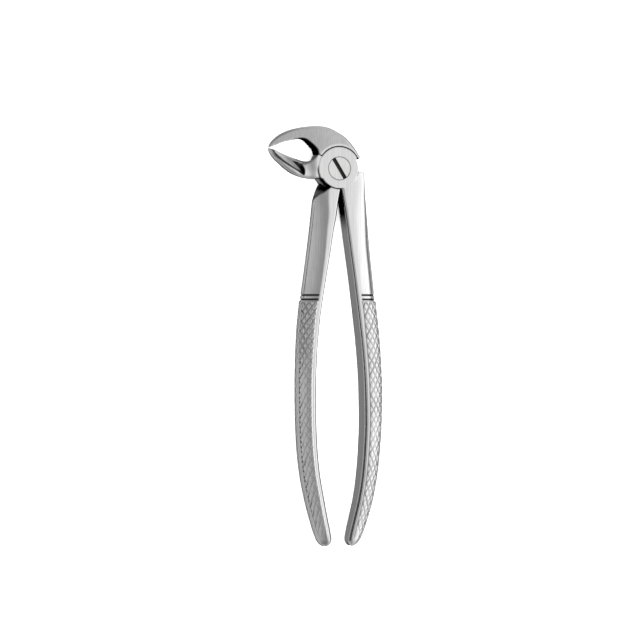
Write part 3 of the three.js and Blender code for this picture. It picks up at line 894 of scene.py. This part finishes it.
def steel(name, colour, roughness, stretch):
    """Satin steel with fine lines along Y, with shade painted into its colour and shine by the mesh
    attribute of painted shade.
    """
    material = bpy.data.materials.new(name)
    material.use_nodes = True
    tree = material.node_tree
    shader = tree.nodes["Principled BSDF"]
    shader.inputs["Metallic"].default_value = 1.0
    place = tree.nodes.new("ShaderNodeTexCoord")
    mapping = tree.nodes.new("ShaderNodeMapping")
    mapping.inputs["Scale"].default_value = stretch
    tree.links.new(place.outputs["Object"], mapping.inputs["Vector"])
    lines = node(tree, "ShaderNodeTexNoise", Scale=1.0, Detail=5.0, Roughness=0.62)
    tree.links.new(mapping.outputs["Vector"], lines.inputs["Vector"])
    broad = tree.nodes.new("ShaderNodeMapping")
    broad.inputs["Scale"].default_value = [CLOUD_SIZE * s for s in stretch]
    tree.links.new(place.outputs["Object"], broad.inputs["Vector"])
    cloud = node(tree, "ShaderNodeTexNoise", Scale=1.0, Detail=4.0, Roughness=0.6)
    tree.links.new(broad.outputs["Vector"], cloud.inputs["Vector"])
    groove_and_painted_shade = tree.nodes.new("ShaderNodeAttribute")
    groove_and_painted_shade.attribute_name = "groove_and_painted_shade"

    ramp = tree.nodes.new("ShaderNodeValToRGB")
    ramp.color_ramp.elements[0].position = 0.3
    ramp.color_ramp.elements[0].color = (*[c * CLOUD_COLOUR for c in colour], 1)
    ramp.color_ramp.elements[1].position = 0.7
    ramp.color_ramp.elements[1].color = (*colour, 1)
    tree.links.new(cloud.outputs["Fac"], ramp.inputs["Fac"])
    # painted shade: the attribute darkens the colour in grooves, recesses and the fork
    dark = tree.nodes.new("ShaderNodeMix")
    dark.data_type = "RGBA"
    dark.blend_type = "MULTIPLY"
    dark.inputs["B"].default_value = (SHADE_COLOUR, SHADE_COLOUR, SHADE_COLOUR, 1)
    tree.links.new(groove_and_painted_shade.outputs["Fac"], dark.inputs["Factor"])
    tree.links.new(ramp.outputs["Color"], dark.inputs["A"])
    tree.links.new(dark.outputs["Result"], shader.inputs["Base Color"])
    edge = tree.nodes.new("ShaderNodeMix")  # where shade is painted in, the shine at a glancing angle is painted dark too
    edge.data_type = "RGBA"
    edge.inputs["A"].default_value = (1, 1, 1, 1)
    edge.inputs["B"].default_value = (SHADE_TINT, SHADE_TINT, SHADE_TINT, 1)
    tree.links.new(groove_and_painted_shade.outputs["Fac"], edge.inputs["Factor"])
    tree.links.new(edge.outputs["Result"], shader.inputs["Specular Tint"])

    rough = tree.nodes.new("ShaderNodeMapRange")
    rough.inputs["From Min"].default_value = 0.3
    rough.inputs["From Max"].default_value = 0.7
    rough.inputs["To Min"].default_value = roughness - 0.05
    rough.inputs["To Max"].default_value = roughness + 0.06
    tree.links.new(lines.outputs["Fac"], rough.inputs["Value"])
    tree.links.new(rough.outputs["Result"], shader.inputs["Roughness"])

    bump = tree.nodes.new("ShaderNodeBump")
    bump.inputs["Strength"].default_value = 0.06
    bump.inputs["Distance"].default_value = LINE_BUMP
    tree.links.new(lines.outputs["Fac"], bump.inputs["Height"])
    tree.links.new(bump.outputs["Normal"], shader.inputs["Normal"])
    return material


# ---- pieces ---------------------------------------------------------------------------------------

lever_steel = steel("satin_steel", (0.80, 0.80, 0.80), 0.18, (9000, 260, 9000))
screw_steel = steel("turned_steel", (0.82, 0.82, 0.815), 0.2, (6000, 900, 6000))

lever("rear_lever", rear_lever_field, (11, 19, 5.3), LEFT, lever_steel)
lever("front_lever", front_lever_field, (13, 11, 5.3), RIGHT, lever_steel)

screw_box = Box((-5.2, -5.2, -5.1), (5.2, 5.2, 5.1), SCREW_VOXEL)
field, shade = screw_field(screw_box)
points, quads = surface_net(screw_box, field)
points = relax(screw_box, field, points, quads)
shade_there = sample(screw_box, [shade], points)[0]
make_object(
    "pivot_screw_head_and_pin", points, quads.tolist(), shade_there,
    "rear_lever", "pivot_screw", screw_steel,
)

# ---- stage ----------------------------------------------------------------------------------------

TILT = math.radians(17)  # the camera stands this far round to the left, about the long axis
VIEW_WIDTH = 266.2  # mm across the picture at the target
VIEW_DISTANCE = 1.3  # metres
TARGET_RIGHT, TARGET_Y = -8.07, -63.1  # mm from the top of the joint to the picture's centre
FLOOR_HALF = 3  # metres

floor_mesh = bpy.data.meshes.new("floor")
corners = [(FLOOR_HALF * i, FLOOR_HALF * j, 0) for i, j in ((-1, -1), (1, -1), (1, 1), (-1, 1))]
floor_mesh.from_pydata(corners, [], [(0, 1, 2, 3)])
floor = bpy.data.objects.new("floor", floor_mesh)
bpy.context.scene.collection.objects.link(floor)
floor_paint = bpy.data.materials.new("pale_floor")
floor_paint.use_nodes = True
floor_shader = floor_paint.node_tree.nodes["Principled BSDF"]
floor_shader.inputs["Base Color"].default_value = (0.93, 0.93, 0.93, 1)
floor_shader.inputs["Roughness"].default_value = 0.9
floor_shader.inputs["Specular IOR Level"].default_value = 0.0
floor_mesh.materials.append(floor_paint)
floor.visible_glossy = False  # the steel mirrors the studio below it and not the white floor

right = Vector((math.cos(TILT), 0, math.sin(TILT)))
back = Vector((-math.sin(TILT), 0, math.cos(TILT)))
joint_top = PIVOT + Vector((0, 0, HALF * MM))
target = joint_top + right * (TARGET_RIGHT * MM) + Vector((0, TARGET_Y * MM, 0))
camera_data = bpy.data.cameras.new("camera")
camera_data.sensor_width = 36
camera_data.lens = camera_data.sensor_width * VIEW_DISTANCE / (VIEW_WIDTH * MM)
camera_data.clip_start = 0.01
camera_data.clip_end = 20
camera = bpy.data.objects.new("camera", camera_data)
bpy.context.scene.collection.objects.link(camera)
camera.location = target + back * VIEW_DISTANCE
camera.rotation_mode = "QUATERNION"
camera.rotation_quaternion = Matrix((right, (0, 1, 0), back)).transposed().to_quaternion()
bpy.context.scene.camera = camera

# The world is the studio that the steel mirrors; the camera itself sees white behind the piece.
world = bpy.data.worlds.new("studio")
bpy.context.scene.world = world
world.use_nodes = True
tree = world.node_tree
place = tree.nodes.new("ShaderNodeTexCoord")
direction = tree.nodes.new("ShaderNodeSeparateXYZ")
tree.links.new(place.outputs["Generated"], direction.inputs[0])


def ramp_along(axis, start, end, low, high):
    """Light level along one axis of the studio."""
    made = tree.nodes.new("ShaderNodeMapRange")
    made.interpolation_type = "SMOOTHSTEP"
    for key, value in (("From Min", start), ("From Max", end), ("To Min", low), ("To Max", high)):
        made.inputs[key].default_value = value
    tree.links.new(direction.outputs[axis], made.inputs["Value"])
    return made.outputs["Result"]


def joined(operation, a, c):
    """Sum or product of two light levels."""
    made = tree.nodes.new("ShaderNodeMath")
    made.operation = operation
    tree.links.new(a, made.inputs[0])
    tree.links.new(c, made.inputs[1])
    return made.outputs[0]


# above the horizon it is lighter on the right and a little at the far left, and darker up and down the piece
across = joined("ADD", ramp_along("X", -0.3, 0.27, 0.33, 0.95), ramp_along("X", -0.8, -0.35, 0.3, 0.0))
across = joined("MULTIPLY", across, ramp_along("Y", 0.1, 0.45, 1.0, 0.66))
across = joined("MULTIPLY", across, ramp_along("Y", -0.8, -0.15, 0.7, 1.0))
upper = joined("ADD", across, ramp_along("X", 0.45, 0.95, 0.0, 0.5))
# below the horizon a light strip, and a dark floor that is lighter on the left
strip = joined("MULTIPLY", ramp_along("X", -0.3, 0.6, 0.56, 0.62), ramp_along("Z", -0.93, -0.66, 0.0, 1.0))
ground = joined("MULTIPLY", ramp_along("X", -0.38, 0.1, 0.27, 0.03), ramp_along("Z", -0.93, -0.66, 1.0, 0.0))
lower = joined("ADD", strip, ground)
above = ramp_along("Z", -0.25, 0.1, 0.0, 1.0)
below = ramp_along("Z", -0.25, 0.1, 1.0, 0.0)
level = joined("ADD", joined("MULTIPLY", upper, above), joined("MULTIPLY", lower, below))
# dark walls left and right, seen in the edges of the shanks
right_dark = joined("MULTIPLY", ramp_along("Z", -0.2, -0.1, 0.0, 1.0), ramp_along("Z", 0.06, 0.16, 1.0, 0.0))
right_dark = joined("MULTIPLY", right_dark, ramp_along("X", 0.55, 0.8, 0.0, 0.9))
left_dark = joined("MULTIPLY", ramp_along("Z", 0.14, 0.22, 0.0, 1.0), ramp_along("Z", 0.42, 0.52, 1.0, 0.0))
left_dark = joined("MULTIPLY", left_dark, ramp_along("X", -0.87, -0.76, 0.97, 0.0))
for dark in (right_dark, left_dark):
    kept = tree.nodes.new("ShaderNodeMath")
    kept.operation = "SUBTRACT"
    kept.inputs[0].default_value = 1.0
    tree.links.new(dark, kept.inputs[1])
    level = joined("MULTIPLY", level, kept.outputs[0])
studio = tree.nodes["Background"]
tree.links.new(level, studio.inputs["Color"])
backdrop = tree.nodes.new("ShaderNodeBackground")
backdrop.inputs["Color"].default_value = (1.0, 1.0, 1.0, 1)
path = tree.nodes.new("ShaderNodeLightPath")
mixed = tree.nodes.new("ShaderNodeMixShader")
tree.links.new(path.outputs["Is Camera Ray"], mixed.inputs[0])
tree.links.new(studio.outputs[0], mixed.inputs[1])
tree.links.new(backdrop.outputs[0], mixed.inputs[2])
tree.links.new(mixed.outputs[0], tree.nodes["World Output"].inputs["Surface"])


def softbox(name, at, size, power):
    """Rectangular light at a place in metres from the target, aimed at it."""
    data = bpy.data.lights.new(name, "AREA")
    data.shape = "RECTANGLE"
    data.size, data.size_y = size
    data.energy = power
    light = bpy.data.objects.new(name, data)
    bpy.context.scene.collection.objects.link(light)
    light.location = target + Vector(at)
    light.rotation_mode = "QUATERNION"
    light.rotation_quaternion = (target - light.location).to_track_quat("-Z", "Y")
    return light


fill = softbox("sweep_fill", (-0.15, 0.0, 1.2), (3.0, 3.0), 120)
fill.visible_glossy = False

bpy.context.scene.view_settings.view_transform = "Standard"
